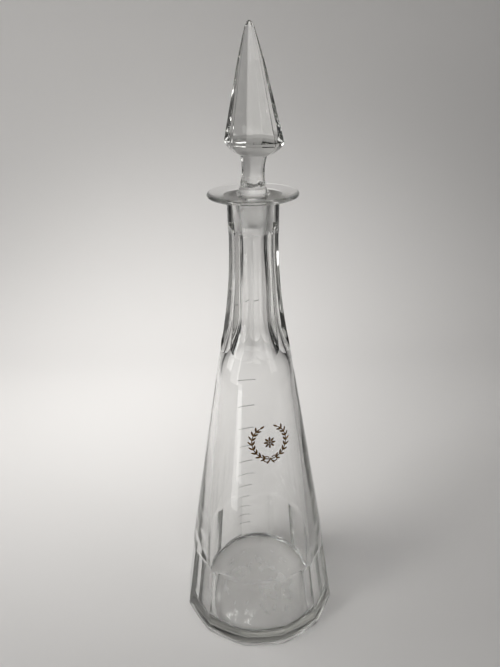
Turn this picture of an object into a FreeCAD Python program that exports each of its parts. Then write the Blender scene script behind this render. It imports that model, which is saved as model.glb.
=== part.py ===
import FreeCAD, Part
import math
import os

# Liqueur decanter: a conical cut glass body with a flanged lip, its ground glass stopper
# with a pyramid finial, and a gilt ornament on the body's front.
# Millimetres, +Z up. The foot stands on z = 0 and the body's axis is x = y = 0.
# An azimuth is counted from the front, -Y, towards +X.

# Body, the blown form before it is cut. A drop is a depth below the body's top.
BODY_HEIGHT = 241.8
BLOWN_FOOT_RADIUS = 44.7
CONE_TOP_RADIUS = 15.2
CONE_TOP_DROP = 63.6
WAIST_RADIUS = 11.7
WAIST_DROP = 21.1
NECK_TOP_RADIUS = 12.0

# Lip, a thin flange round the mouth
LIP_RADIUS = 20.85
LIP_THICKNESS = 2.0
LIP_DISH = 0.6
LIP_ROOT_DROP = 0.6
LIP_FILLET = 1.6
MOUTH_ROUND = 2.9

# Cavity: the floor, which rises to the middle, the wall's thickness at shares of the cone's height,
# and the neck's bore
FLOOR_HEIGHT = 4.5
FLOOR_CROWN = 7.0
FLOOR_CORNER = 2.5
BASE_WALL = 8.3
LOW_WALL = 5.9
LOW_WALL_SHARE = 0.31
MIDDLE_WALL = 4.2
MIDDLE_WALL_SHARE = 0.56
HIGH_WALL = 3.0
HIGH_WALL_SHARE = 0.8
SHOULDER_WALL = 4.2
SHOULDER_WALL_SHARE = 0.9
NECK_LOW_RADIUS = 8.4
NECK_LOW_DROP = 69.0
NECK_MIDDLE_RADIUS = 6.35
NECK_MIDDLE_DROP = 47.3
NECK_BORE_RADIUS = 5.5
NECK_BORE_DROP = 26.0

# Ground seat of the stopper, a slow taper
SEAT_RADIUS = 6.45
SEAT_DEPTH = 16.7
SEAT_TAPER_SHARE = 0.05
SEAT_STEP = 0.8

# Foot: a shallow ground hollow under the base, and a small bevel round it
HOLLOW_RADIUS = 29.0
HOLLOW_DEPTH = 1.2
FOOT_BEVEL = 1.4

# Flat panels, cut with a wheel that leaves each end rounded: a small one at the foot, a larger at the neck
PANEL_MARGIN = 0.1
FOOT_PANELS = 12
FOOT_PANEL_HEIGHT = 39.6
FOOT_PANEL_RADIUS = 44.0
FOOT_PANEL_AZIMUTH = 3.0
FOOT_WHEEL_RADIUS = 8.0
NECK_PANELS = 8
NECK_PANEL_BOTTOM_DROP = 71.0
NECK_PANEL_TOP_DROP = 20.6
NECK_PANEL_AZIMUTH = 20.5
NECK_WHEEL_RADIUS = 17.4

# Dose marks, engraved on the back: equal volumes from the floor to the highest mark
MARK_COUNT = 12
LONG_MARK_EVERY = 6
TOP_MARK_DROP = 57.4
MARK_WIDTH = 0.45
MARK_DEPTH = 0.15
MARK_LENGTH = 11.2
LONG_MARK_LENGTH = 14.3
NECK_MARK_LENGTH = 9.5
MARK_AZIMUTH = 194.5

# Stopper: plug, collar, stem, and the finial's rim and point. A rise is a height over the mouth.
JOINT_CLEARANCE = 0.05
PLUG_LENGTH = 14.6
PLUG_BEVEL = 0.6
COLLAR_RADIUS = 7.4
COLLAR_EDGE = 0.5
COLLAR_DROP = 1.2
COLLAR_HEIGHT = 4.2
STOPPER_SIDES = 8
STOPPER_AZIMUTH = -2.0
STEM_FOOT_RADIUS = 5.75
STEM_WAIST_RADIUS = 5.1
STEM_WAIST_RISE = 10.3
STEM_TOP_RADIUS = 5.9
STEM_TOP_RISE = 16.2
RIM_RADIUS = 13.15
RIM_RISE = 22.5
RIM_LOW_RADIUS = 12.85
RIM_THICKNESS = 1.4
RIM_HOLLOW = 0.9
FINIAL_HEIGHT = 46.3
FINIAL_BREAK_RADIUS = 5.75
FINIAL_BREAK_DROP = 15.0
FINIAL_SHOULDER_RADIUS = 2.1
FINIAL_SHOULDER_DROP = 2.4
FINIAL_TIP_RADIUS = 1.15
FINIAL_TIP_DROP = 0.6
FINIAL_POINT_RADIUS = 0.45
FINIAL_LEAN = 3.5
STEM_TILT = 2.7
STEM_ROOT = 0.4

# Gilt ornament: a wreath of two leafy sprays round a flower, on the outside of the cone
GILT_THICKNESS = 0.06
GILT_LINE = 0.5
GILT_AZIMUTH = 14.8
GILT_DROP = 119.3
WREATH_RADIUS = 8.8
WREATH_START = -90.0
WREATH_SWEEP = 148.0
WREATH_LEAVES = 9
LEAF_LENGTH = 2.9
LEAF_WIDTH = 0.95
LEAF_SPLAY = 38.0
PETALS = 8
PETAL_LENGTH = 2.6
PETAL_WIDTH = 1.1
BEAD_RADIUS = 0.55
BOW_RADIUS = 1.5
BOW_SWEEP = 300.0
TAIL_LENGTH = 3.4
TAIL_WIDTH = 0.8

# What a cutter reaches past the glass, and how far the wheel swings as it leaves it
OVERRUN = 3.0
WHEEL_SWING = 60.0

os.makedirs("parts", exist_ok=True)
UP = FreeCAD.Vector(0, 0, 1)
ORIGIN = FreeCAD.Vector(0, 0, 0)


def at(radius, height):
    """A point of an outline, in the plane that holds the axis."""
    return FreeCAD.Vector(radius, 0, height)


def line(start, end):
    return Part.LineSegment(start, end).toShape()


def arc(start, middle, end):
    return Part.Arc(start, middle, end).toShape()


def turned(shape, azimuth):
    """The shape swung round the axis, from the +X side to an azimuth."""
    copy = shape.copy()
    copy.rotate(ORIGIN, UP, azimuth - 90)
    return copy


def revolved(edges):
    """The solid that a closed outline sweeps round the axis."""
    return Part.Face(Part.Wire(edges)).revolve(ORIGIN, UP, 360)


def tangent_arc(start, direction, end):
    """The arc that leaves start along direction and reaches end, as its centre and radius."""
    across = FreeCAD.Vector(-direction.z, 0, direction.x)
    chord = end - start
    radius = chord.dot(chord) / (2 * chord.dot(across))
    return start + across * radius, abs(radius)


# Outside of the blown form: a straight cone that runs out into the neck
CONE_START = at(BLOWN_FOOT_RADIUS, 0)
CONE_END = at(CONE_TOP_RADIUS, BODY_HEIGHT - CONE_TOP_DROP)
WAIST = at(WAIST_RADIUS, BODY_HEIGHT - WAIST_DROP)
CONE_DIRECTION = (CONE_END - CONE_START).normalize()
NECK_CENTRE, NECK_CURVE = tangent_arc(CONE_END, CONE_DIRECTION, WAIST)


def blown_radius(height):
    """Outer radius of the uncut cone and neck at a height under the lip."""
    if height <= CONE_END.z:
        share = height / CONE_END.z
        return BLOWN_FOOT_RADIUS + share * (CONE_TOP_RADIUS - BLOWN_FOOT_RADIUS)
    if height >= WAIST.z:
        share = (height - WAIST.z) / (WAIST_DROP - LIP_THICKNESS)
        return WAIST_RADIUS + share * (NECK_TOP_RADIUS - WAIST_RADIUS)
    drop = height - NECK_CENTRE.z
    return NECK_CENTRE.x - math.sqrt(NECK_CURVE ** 2 - drop ** 2)


def blown_form():
    """The solid glass form before the cavity and the cuts, with its lip."""
    middle = (CONE_END.z + WAIST.z) / 2
    edge = LIP_THICKNESS / 2
    rim = BODY_HEIGHT - edge
    root = BODY_HEIGHT - LIP_THICKNESS - LIP_ROOT_DROP
    mouth = mouth_height()
    neck_top = at(NECK_TOP_RADIUS, root - LIP_FILLET)
    fillet_middle = at(NECK_TOP_RADIUS + LIP_FILLET * (1 - math.sqrt(0.5)),
                       root - LIP_FILLET * (1 - math.sqrt(0.5)))
    lip_root = at(NECK_TOP_RADIUS + LIP_FILLET, root)
    under = at(LIP_RADIUS - edge, rim - edge)
    over = at(LIP_RADIUS - edge, BODY_HEIGHT)
    edges = [
        line(at(0, 0), CONE_START),
        line(CONE_START, CONE_END),
        arc(CONE_END, at(blown_radius(middle), middle), WAIST),
        line(WAIST, neck_top),
        arc(neck_top, fillet_middle, lip_root),
        line(lip_root, under),
        arc(under, at(LIP_RADIUS, rim), over),
        line(over, at(mouth_radius(), mouth)),
        line(at(mouth_radius(), mouth), at(0, mouth)),
        line(at(0, mouth), at(0, 0)),
    ]
    return revolved(edges)


def wall_station(share, wall):
    """A point of the cavity's wall, at a share of the cone's height, behind a wall of glass."""
    height = CONE_END.z * share
    return at(blown_radius(height) - wall, height)


def cavity_wall():
    """The wall of the cavity, from the floor's centre up to the seat, as edges."""
    corner_height = FLOOR_HEIGHT + FLOOR_CORNER
    corner_top = at(blown_radius(corner_height) - BASE_WALL, corner_height)
    floor_edge = at(corner_top.x - FLOOR_CORNER, FLOOR_HEIGHT)
    turn = FLOOR_CORNER * (1 - math.sqrt(0.5))
    corner_middle = at(corner_top.x - turn, FLOOR_HEIGHT + turn)
    floor_middle = at(floor_edge.x / 2, FLOOR_HEIGHT + FLOOR_CROWN * 3 / 4)
    stations = [
        corner_top,
        wall_station(LOW_WALL_SHARE, LOW_WALL),
        wall_station(MIDDLE_WALL_SHARE, MIDDLE_WALL),
        wall_station(HIGH_WALL_SHARE, HIGH_WALL),
        wall_station(SHOULDER_WALL_SHARE, SHOULDER_WALL),
        at(NECK_LOW_RADIUS, BODY_HEIGHT - NECK_LOW_DROP),
        at(NECK_MIDDLE_RADIUS, BODY_HEIGHT - NECK_MIDDLE_DROP),
        at(NECK_BORE_RADIUS, BODY_HEIGHT - NECK_BORE_DROP),
    ]
    wall = Part.BSplineCurve()
    wall.interpolate(stations)
    seat_end = at(NECK_BORE_RADIUS, seat_bottom() - SEAT_STEP)
    return [
        arc(at(0, FLOOR_HEIGHT + FLOOR_CROWN), floor_middle, floor_edge),
        arc(floor_edge, corner_middle, corner_top),
        wall.toShape(),
        line(stations[-1], seat_end),
    ]


def mouth_height():
    return BODY_HEIGHT - LIP_DISH


def seat_bottom():
    return mouth_height() - SEAT_DEPTH


def seat_radius(height):
    """Radius of the ground seat, which narrows slowly downwards."""
    return SEAT_RADIUS - SEAT_TAPER_SHARE * (mouth_height() - height)


def mouth_radius():
    """Where the rounded mouth runs out into the lip's dish."""
    return seat_radius(mouth_height() - MOUTH_ROUND) + MOUTH_ROUND


def cavity():
    """The air inside: the cavity, the bore, the ground seat and the rounded mouth."""
    mouth = mouth_height()
    low = seat_bottom()
    bore_end = at(NECK_BORE_RADIUS, low - SEAT_STEP)
    seat_low = at(seat_radius(low), low)
    seat_high = at(seat_radius(mouth - MOUTH_ROUND), mouth - MOUTH_ROUND)
    turn = MOUTH_ROUND * (1 - math.sqrt(0.5))
    round_middle = at(seat_high.x + turn, mouth - turn)
    round_top = at(mouth_radius(), mouth)
    above = at(round_top.x, BODY_HEIGHT + OVERRUN)
    edges = cavity_wall() + [
        line(bore_end, seat_low),
        line(seat_low, seat_high),
        arc(seat_high, round_middle, round_top),
        line(round_top, above),
        line(above, at(0, above.z)),
        line(at(0, above.z), at(0, FLOOR_HEIGHT + FLOOR_CROWN)),
    ]
    return revolved(edges)


def wheel_exit(start, direction, wheel):
    """Middle and end of the arc by which a wheel of this radius leaves the glass."""
    swing = math.radians(WHEEL_SWING)
    outward = outward_of(direction)
    points = []
    for angle in (swing / 2, swing):
        along = direction * (wheel * math.sin(angle))
        points.append(start + along + outward * (wheel * (1 - math.cos(angle))))
    return points


def outward_of(direction):
    """The normal of a direction in the outline's plane, on the side away from the axis."""
    normal = FreeCAD.Vector(direction.z, 0, -direction.x)
    return normal if normal.x > 0 else normal * -1


def panel_cutter(outline, far, width):
    """What the wheel takes away over one panel: an outline run across the panel's width."""
    face = Part.Face(Part.Wire(outline + [
        line(outline[-1].lastVertex().Point, at(far, outline[-1].lastVertex().Point.z)),
        line(at(far, outline[-1].lastVertex().Point.z), at(far, outline[0].firstVertex().Point.z)),
        line(at(far, outline[0].firstVertex().Point.z), outline[0].firstVertex().Point),
    ]))
    face.translate(FreeCAD.Vector(0, -width / 2, 0))
    return face.extrude(FreeCAD.Vector(0, width, 0))


def foot_panel():
    """Cutter of one flat panel at the foot: a plane that rises to a rounded end."""
    flat = math.cos(math.pi / FOOT_PANELS)
    low = at(FOOT_PANEL_RADIUS * flat, 0)
    high_radius = (blown_radius(FOOT_PANEL_HEIGHT) - PANEL_MARGIN / 2) * flat
    high = at(high_radius, FOOT_PANEL_HEIGHT)
    direction = (high - low).normalize()
    start = low - direction * OVERRUN
    middle, end = wheel_exit(high, direction, FOOT_WHEEL_RADIUS)
    outline = [line(start, high), arc(high, middle, end)]
    width = 2 * BLOWN_FOOT_RADIUS * math.tan(math.pi / FOOT_PANELS) + OVERRUN
    return panel_cutter(outline, BLOWN_FOOT_RADIUS + OVERRUN, width)


def neck_panel_radius(height):
    """How far the flat of a neck panel lies from the axis."""
    return (blown_radius(height) - PANEL_MARGIN) * math.cos(math.pi / NECK_PANELS)


def neck_panel():
    """Cutter of one neck panel: a long hollow flat with a rounded end at each side."""
    low_height = BODY_HEIGHT - NECK_PANEL_BOTTOM_DROP
    high_height = BODY_HEIGHT - NECK_PANEL_TOP_DROP
    middle_height = (low_height + high_height) / 2
    low = at(neck_panel_radius(low_height), low_height)
    middle = at(neck_panel_radius(middle_height), middle_height)
    high = at(neck_panel_radius(high_height), high_height)
    flat = Part.Arc(low, middle, high)
    down = flat.tangent(flat.FirstParameter)[0] * -1
    up = flat.tangent(flat.LastParameter)[0]
    if down.z > 0:
        down, up = down * -1, up * -1
    low_middle, low_end = wheel_exit(low, down, NECK_WHEEL_RADIUS)
    high_middle, high_end = wheel_exit(high, up, NECK_WHEEL_RADIUS)
    outline = [arc(low_end, low_middle, low), flat.toShape(), arc(high, high_middle, high_end)]
    width = 2 * CONE_TOP_RADIUS * math.tan(math.pi / NECK_PANELS) + OVERRUN
    return panel_cutter(outline, CONE_TOP_RADIUS * 2, width)


def foot_bevel():
    """A ring that takes the sharp edge off the foot."""
    inner = FOOT_PANEL_RADIUS - FOOT_BEVEL
    outer = FOOT_PANEL_RADIUS + OVERRUN
    corners = [
        at(inner, 0),
        at(outer, FOOT_BEVEL + OVERRUN),
        at(outer, -OVERRUN),
        at(inner, -OVERRUN),
    ]
    return revolved([line(corners[i - 1], corners[i]) for i in range(len(corners))])


def foot_hollow():
    """The cap of a large sphere, ground out of the base."""
    radius = (HOLLOW_RADIUS ** 2 + HOLLOW_DEPTH ** 2) / (2 * HOLLOW_DEPTH)
    return Part.makeSphere(radius, at(0, HOLLOW_DEPTH - radius))


def mark_heights():
    """Heights of the dose marks: the levels at equal shares of the volume under the top one."""
    points = []
    for edge in cavity_wall():
        run = edge.discretize(Number=200)
        if points and (run[0] - points[-1]).Length > (run[-1] - points[-1]).Length:
            run.reverse()
        points += run
    levels = [points[0].z]
    volumes = [0.0]
    for low, high in zip(points, points[1:]):
        ring = math.pi * (low.x ** 2 + low.x * high.x + high.x ** 2) / 3
        volumes.append(volumes[-1] + ring * (high.z - low.z))
        levels.append(high.z)
    full = volume_at(BODY_HEIGHT - TOP_MARK_DROP, levels, volumes)
    dose = full / MARK_COUNT
    heights = [level_at(dose * (k + 1), levels, volumes) for k in range(MARK_COUNT)]
    print("dose volume in ml", round(dose / 1000, 2), "heights", [round(h, 1) for h in heights])
    return heights


def volume_at(height, levels, volumes):
    for k in range(1, len(levels)):
        if levels[k] >= height and levels[k] > levels[k - 1]:
            share = (height - levels[k - 1]) / (levels[k] - levels[k - 1])
            return volumes[k - 1] + share * (volumes[k] - volumes[k - 1])
    return volumes[-1]


def level_at(volume, levels, volumes):
    for k in range(1, len(levels)):
        if volumes[k] >= volume and levels[k] > levels[k - 1]:
            share = (volume - volumes[k - 1]) / (volumes[k] - volumes[k - 1])
            return levels[k - 1] + share * (levels[k] - levels[k - 1])
    return levels[-1]


def mark_cutter(height, length):
    """An engraved line: a thin ring sector that bites into the outside of the cone."""
    low = height - MARK_WIDTH / 2
    high = height + MARK_WIDTH / 2
    inner_low = blown_radius(low) - MARK_DEPTH
    inner_high = blown_radius(high) - MARK_DEPTH
    outer = blown_radius(low) + OVERRUN
    corners = [at(inner_low, low), at(outer, low), at(outer, high), at(inner_high, high)]
    face = Part.Face(Part.Wire([line(corners[i - 1], corners[i]) for i in range(len(corners))]))
    sweep = math.degrees(length / blown_radius(height))
    return turned(face.revolve(ORIGIN, UP, sweep), MARK_AZIMUTH - sweep / 2)


def panel_mark_cutter(height, length):
    """The engraved line that crosses a neck panel: a straight groove along the flat."""
    depth = neck_panel_radius(height) - MARK_DEPTH
    corner = FreeCAD.Vector(depth, -length / 2, height - MARK_WIDTH / 2)
    groove = Part.makeBox(OVERRUN, length, MARK_WIDTH, corner)
    return turned(groove, NECK_PANEL_AZIMUTH + 180)


def decanter_body():
    glass = blown_form().cut(cavity())
    cutters = [foot_bevel(), foot_hollow()]
    for k in range(FOOT_PANELS):
        cutters.append(turned(foot_panel(), FOOT_PANEL_AZIMUTH + k * 360 / FOOT_PANELS))
    for k in range(NECK_PANELS):
        cutters.append(turned(neck_panel(), NECK_PANEL_AZIMUTH + k * 360 / NECK_PANELS))
    glass = glass.cut(cutters)
    marks = []
    for k, height in enumerate(mark_heights()):
        length = LONG_MARK_LENGTH if (k + 1) % LONG_MARK_EVERY == 0 else MARK_LENGTH
        if height > BODY_HEIGHT - NECK_PANEL_BOTTOM_DROP:
            marks.append(panel_mark_cutter(height, NECK_MARK_LENGTH))
        else:
            marks.append(mark_cutter(height, length))
    return glass.cut(marks)


def polygon(radius, height, lean):
    """A regular eight-sided outline with a corner near the front, moved to the left by lean."""
    points = []
    for k in range(STOPPER_SIDES + 1):
        azimuth = math.radians(STOPPER_AZIMUTH + k * 360 / STOPPER_SIDES)
        across = radius * math.sin(azimuth) - lean
        points.append(FreeCAD.Vector(across, -radius * math.cos(azimuth), height))
    return Part.makePolygon(points)


def finial_point():
    """The pyramid: flat sides that lean a little to the left, as the hand-cut one does."""
    sections = [
        (RIM_RADIUS, 0),
        (FINIAL_BREAK_RADIUS, FINIAL_HEIGHT - FINIAL_BREAK_DROP),
        (FINIAL_SHOULDER_RADIUS, FINIAL_HEIGHT - FINIAL_SHOULDER_DROP),
        (FINIAL_TIP_RADIUS, FINIAL_HEIGHT - FINIAL_TIP_DROP),
        (FINIAL_POINT_RADIUS, FINIAL_HEIGHT),
    ]
    rim_height = mouth_height() + RIM_RISE
    wires = []
    for radius, rise in sections:
        wires.append(polygon(radius, rim_height + rise, FINIAL_LEAN * rise / FINIAL_HEIGHT))
    return Part.makeLoft(wires, True, True)


def stem():
    """Stem and the finial's hollow underside, eight-sided, from four crossed prisms."""
    flat = math.cos(math.pi / STOPPER_SIDES)
    mouth = mouth_height()
    rim_low_rise = RIM_RISE - RIM_THICKNESS
    under_radius = (STEM_TOP_RADIUS + RIM_LOW_RADIUS) / 2
    under_rise = (STEM_TOP_RISE + rim_low_rise) / 2 - RIM_HOLLOW
    right = [
        at(STEM_FOOT_RADIUS * flat, mouth + COLLAR_HEIGHT - STEM_ROOT),
        at(STEM_WAIST_RADIUS * flat, mouth + STEM_WAIST_RISE),
        at(STEM_TOP_RADIUS * flat, mouth + STEM_TOP_RISE),
        at(under_radius * flat, mouth + under_rise),
        at(RIM_LOW_RADIUS * flat, mouth + rim_low_rise),
        at(RIM_RADIUS * flat, mouth + RIM_RISE),
    ]
    left = [at(-point.x, point.z) for point in right]
    edges = [
        line(left[0], right[0]),
        arc(right[0], right[1], right[2]),
        arc(right[2], right[3], right[4]),
        line(right[4], right[5]),
        line(right[5], left[5]),
        line(left[5], left[4]),
        arc(left[4], left[3], left[2]),
        arc(left[2], left[1], left[0]),
    ]
    face = Part.Face(Part.Wire(edges))
    width = 2 * RIM_RADIUS + OVERRUN
    face.translate(FreeCAD.Vector(0, -width / 2, 0))
    prism = face.extrude(FreeCAD.Vector(0, width, 0))
    solid = None
    for k in range(STOPPER_SIDES // 2):
        azimuth = STOPPER_AZIMUTH + (k + 1 / 2) * 360 / STOPPER_SIDES
        side = turned(prism, azimuth)
        solid = side if solid is None else solid.common(side)
    return solid


def plug():
    """The ground plug that fills the seat, with the polished collar above it."""
    mouth = mouth_height()
    low = mouth - PLUG_LENGTH
    ledge = mouth - COLLAR_DROP
    top = mouth + COLLAR_HEIGHT
    points = [
        at(0, low),
        at(seat_radius(low) - JOINT_CLEARANCE - PLUG_BEVEL, low),
        at(seat_radius(low + PLUG_BEVEL) - JOINT_CLEARANCE, low + PLUG_BEVEL),
        at(seat_radius(ledge) - JOINT_CLEARANCE, ledge),
        at(COLLAR_RADIUS, mouth),
        at(COLLAR_RADIUS - COLLAR_EDGE, mouth + COLLAR_EDGE),
        at(STEM_FOOT_RADIUS * math.cos(math.pi / STOPPER_SIDES), top),
        at(0, top),
    ]
    return revolved([line(points[i - 1], points[i]) for i in range(len(points))])


def stopper():
    """Plug, stem and finial in one piece of glass, the stem tilted a little to the right."""
    finial = stem().fuse(finial_point())
    finial.rotate(at(0, mouth_height() + COLLAR_HEIGHT), FreeCAD.Vector(0, 1, 0), STEM_TILT)
    return plug().fuse(finial).removeSplitter()


def ribbon(radius, start, sweep, centre):
    """A fine flat arc of gold, drawn in the plane that faces the ornament's centre."""
    outer = radius + GILT_LINE / 2
    inner = radius - GILT_LINE / 2

    def spot(reach, angle):
        across, up = around(reach, angle)
        return FreeCAD.Vector(0, centre[0] + across, centre[1] + up)

    first = start
    last = start + sweep
    middle = start + sweep / 2
    return Part.Face(Part.Wire([
        arc(spot(outer, first), spot(outer, middle), spot(outer, last)),
        line(spot(outer, last), spot(inner, last)),
        arc(spot(inner, last), spot(inner, middle), spot(inner, first)),
        line(spot(inner, first), spot(outer, first)),
    ]))


def leaf(base, angle, length, width):
    """A small pointed leaf between two arcs, from its base along an angle."""
    along = FreeCAD.Vector(0, math.cos(math.radians(angle)), math.sin(math.radians(angle)))
    across = FreeCAD.Vector(0, -along.z, along.y)
    start = FreeCAD.Vector(0, base[0], base[1])
    end = start + along * length
    middle = start + along * (length / 2)
    bulge = across * (width / 2)
    return Part.Face(Part.Wire([arc(start, middle + bulge, end), arc(end, middle - bulge, start)]))


def bead(centre):
    middle = FreeCAD.Vector(0, centre[0], centre[1])
    return Part.Face(Part.Wire([Part.makeCircle(BEAD_RADIUS, middle, FreeCAD.Vector(1, 0, 0))]))


def around(radius, angle):
    """A spot on a circle about the ornament's centre."""
    return (radius * math.cos(math.radians(angle)), radius * math.sin(math.radians(angle)))


def spray(side):
    """One half of the wreath: a stem that rises from the bow, with leaves on both sides."""
    pieces = [ribbon(WREATH_RADIUS, WREATH_START, side * WREATH_SWEEP, (0, 0))]
    for k in range(WREATH_LEAVES):
        angle = WREATH_START + side * WREATH_SWEEP * (k + 1) / WREATH_LEAVES
        forward = angle + side * 90
        base = around(WREATH_RADIUS, angle)
        if k + 1 == WREATH_LEAVES:
            pieces.append(leaf(base, forward, LEAF_LENGTH, LEAF_WIDTH))
        else:
            pieces.append(leaf(base, forward + LEAF_SPLAY, LEAF_LENGTH, LEAF_WIDTH))
            pieces.append(leaf(base, forward - LEAF_SPLAY, LEAF_LENGTH, LEAF_WIDTH))
    return pieces


def gilt_pattern():
    """The wreath with its bow, and a flower in the middle."""
    pieces = spray(1) + spray(-1)
    for side, outward in ((1, 0), (-1, 180)):
        loop = (side * (BOW_RADIUS + BEAD_RADIUS), -WREATH_RADIUS)
        tail = WREATH_START + side * LEAF_SPLAY
        pieces.append(ribbon(BOW_RADIUS, outward - BOW_SWEEP / 2, BOW_SWEEP, loop))
        pieces.append(leaf((0, -WREATH_RADIUS), tail, TAIL_LENGTH, TAIL_WIDTH))
    for k in range(PETALS):
        angle = 360 * k / PETALS
        pieces.append(leaf(around(BEAD_RADIUS, angle), angle, PETAL_LENGTH, PETAL_WIDTH))
    return pieces + [bead((0, 0)), bead((0, -WREATH_RADIUS))]


def gilt_ornament():
    """The pattern laid on the cone: run through a thin skin just outside the glass."""
    reach = WREATH_RADIUS + LEAF_LENGTH + TAIL_LENGTH
    middle = BODY_HEIGHT - GILT_DROP
    low = middle - reach
    high = middle + reach
    corners = [
        at(blown_radius(low), low),
        at(blown_radius(low) + GILT_THICKNESS, low),
        at(blown_radius(high) + GILT_THICKNESS, high),
        at(blown_radius(high), high),
    ]
    skin = revolved([line(corners[i - 1], corners[i]) for i in range(len(corners))])
    depth = blown_radius(low) + OVERRUN
    pieces = []
    for face in gilt_pattern():
        face.translate(at(0, middle))
        pieces.append(face.extrude(FreeCAD.Vector(depth, 0, 0)))
    pattern = pieces[0].fuse(pieces[1:])
    return turned(pattern, GILT_AZIMUTH).common(skin)


def save(name, shape):
    solids = shape.Solids
    print(name, len(solids), "solids", "valid", shape.isValid(), "volume", round(shape.Volume, 1))
    result = solids[0] if len(solids) == 1 else Part.makeCompound(solids)
    result.exportStep("parts/" + name + ".step")


save("decanter_body", decanter_body())
save("stopper", stopper())
save("gilt_ornament", gilt_ornament())
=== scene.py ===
import bpy
import math
import numpy as np
from mathutils import Matrix, Vector


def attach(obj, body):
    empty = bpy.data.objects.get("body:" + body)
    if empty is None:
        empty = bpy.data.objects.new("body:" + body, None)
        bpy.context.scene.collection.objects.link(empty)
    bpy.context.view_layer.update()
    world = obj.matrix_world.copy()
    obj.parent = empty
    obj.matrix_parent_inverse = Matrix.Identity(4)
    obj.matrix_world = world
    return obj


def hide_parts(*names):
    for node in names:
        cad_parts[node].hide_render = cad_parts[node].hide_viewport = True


# A liqueur decanter of clear cut glass with its ground stopper. Sizes are in millimetres and are
# turned into metres when a mesh is made. +Z is up, the foot stands on z = 0 and the body's axis is
# x = y = 0. An azimuth is counted from the front, -Y, towards +X, in degrees where it is a size and
# in radians inside the functions.

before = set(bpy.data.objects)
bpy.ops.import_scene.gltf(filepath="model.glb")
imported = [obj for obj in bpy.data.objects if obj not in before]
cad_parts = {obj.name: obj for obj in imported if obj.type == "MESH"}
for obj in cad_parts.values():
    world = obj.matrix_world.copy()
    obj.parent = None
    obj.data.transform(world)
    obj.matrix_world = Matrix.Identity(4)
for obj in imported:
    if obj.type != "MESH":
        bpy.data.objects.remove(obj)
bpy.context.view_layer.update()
MM = 0.001

# Body, the blown form before it is cut
BODY_HEIGHT = 241.8
BLOWN_FOOT_RADIUS = 44.7
CONE_TOP_RADIUS = 15.2
CONE_TOP_HEIGHT = BODY_HEIGHT - 63.6
WAIST_RADIUS = 11.7
WAIST_HEIGHT = BODY_HEIGHT - 21.1
NECK_TOP_RADIUS = 12.0

# Lip
LIP_RADIUS = 20.85
LIP_THICKNESS = 2.0
LIP_DISH = 0.6
LIP_ROOT_DROP = 0.6
LIP_FILLET = 1.6
MOUTH_ROUND = 2.9
MOUTH_HEIGHT = BODY_HEIGHT - LIP_DISH
LIP_ROOT_HEIGHT = BODY_HEIGHT - LIP_THICKNESS - LIP_ROOT_DROP
FILLET_FOOT_HEIGHT = LIP_ROOT_HEIGHT - LIP_FILLET

# Cavity: floor, the wall's thickness at shares of the cone's height, and the neck's narrow bore.
# The crowned floor stands at DOME_MIDDLE of its crown halfway out.
FLOOR_HEIGHT = 4.5
FLOOR_CROWN = 7.0
FLOOR_CORNER = 2.5
CORNER_TOP = FLOOR_HEIGHT + FLOOR_CORNER
DOME_MIDDLE = 0.75
BASE_WALL = 8.3
WALL_THICKNESSES = (5.9, 4.2, 3.0, 4.2)
WALL_HEIGHT_SHARES = (0.31, 0.56, 0.80, 0.9)
NECK_LOW_RADIUS = 8.4
NECK_LOW_HEIGHT = BODY_HEIGHT - 69.0
NECK_MIDDLE_RADIUS = 6.35
NECK_MIDDLE_HEIGHT = BODY_HEIGHT - 47.3
NECK_BORE_RADIUS = 5.5
NECK_BORE_HEIGHT = BODY_HEIGHT - 26.0

# Slow waves in the hand-blown wall: depth, number round the axis, turn for each unit of height, and
# start. They fade out over a little height above the floor's corner and below the bore.
WALL_WAVES = ((0.10, 2, 0.020, 0.7), (0.06, 3, -0.031, 2.1), (0.035, 5, 0.043, 4.0),
              (0.020, 9, -0.052, 1.3), (0.010, 17, 0.060, 5.2))
LOW_WAVE_FADE = 6.25
HIGH_WAVE_FADE = 20.0

# Ground seat of the stopper
SEAT_RADIUS = 6.45
SEAT_DEPTH = 16.7
SEAT_TAPER_SHARE = 0.05
SEAT_STEP = 0.8
SEAT_TOP_RADIUS = SEAT_RADIUS - SEAT_TAPER_SHARE * MOUTH_ROUND

# Foot and flat panels. The wheel that cuts a panel leaves it a rounded end, which goes on along the
# panel for no more than WHEEL_REACH of the wheel's radius.
WHEEL_REACH = 0.8
HOLLOW_RADIUS = 29.0
HOLLOW_DEPTH = 1.2
FOOT_BEVEL = 1.4
WORN_RADIUS = 21.0
LEAST_BEVEL = 0.15
PANEL_MARGIN = 0.1
FOOT_PANELS = 12
FOOT_PANEL_HEIGHT = 39.6
FOOT_PANEL_RADIUS = 44.0
FOOT_PANEL_AZIMUTH = 3.0
FOOT_WHEEL_RADIUS = 8.0
NECK_PANELS = 8
NECK_PANEL_BOTTOM = BODY_HEIGHT - 71.0
NECK_PANEL_TOP = BODY_HEIGHT - 20.6
NECK_PANEL_AZIMUTH = 20.5
NECK_WHEEL_RADIUS = 17.4

# Engraved dose marks on the back, one for each equal dose. The last one crosses a neck panel. The
# rows across a line, and how far out its sides and its bed reach, are shares of its width.
MARK_COUNT = 12
TOP_MARK_HEIGHT = BODY_HEIGHT - 57.4
MARK_WIDTH = 0.45
MARK_DEPTH = 0.15
MARK_TAPER = 1.2
MARK_LENGTH = 11.2
LONG_MARK_LENGTH = 14.3
LONG_MARK_EVERY = 6
NECK_MARK_LENGTH = 9.5
MARK_AZIMUTH = 194.5
GROOVE_ROWS = (-0.75, -0.5, -0.25, 0.25, 0.5, 0.75)
GROOVE_SIDE = 0.6
GROOVE_BED = 0.4
VOLUME_SLICES = 1000

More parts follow.
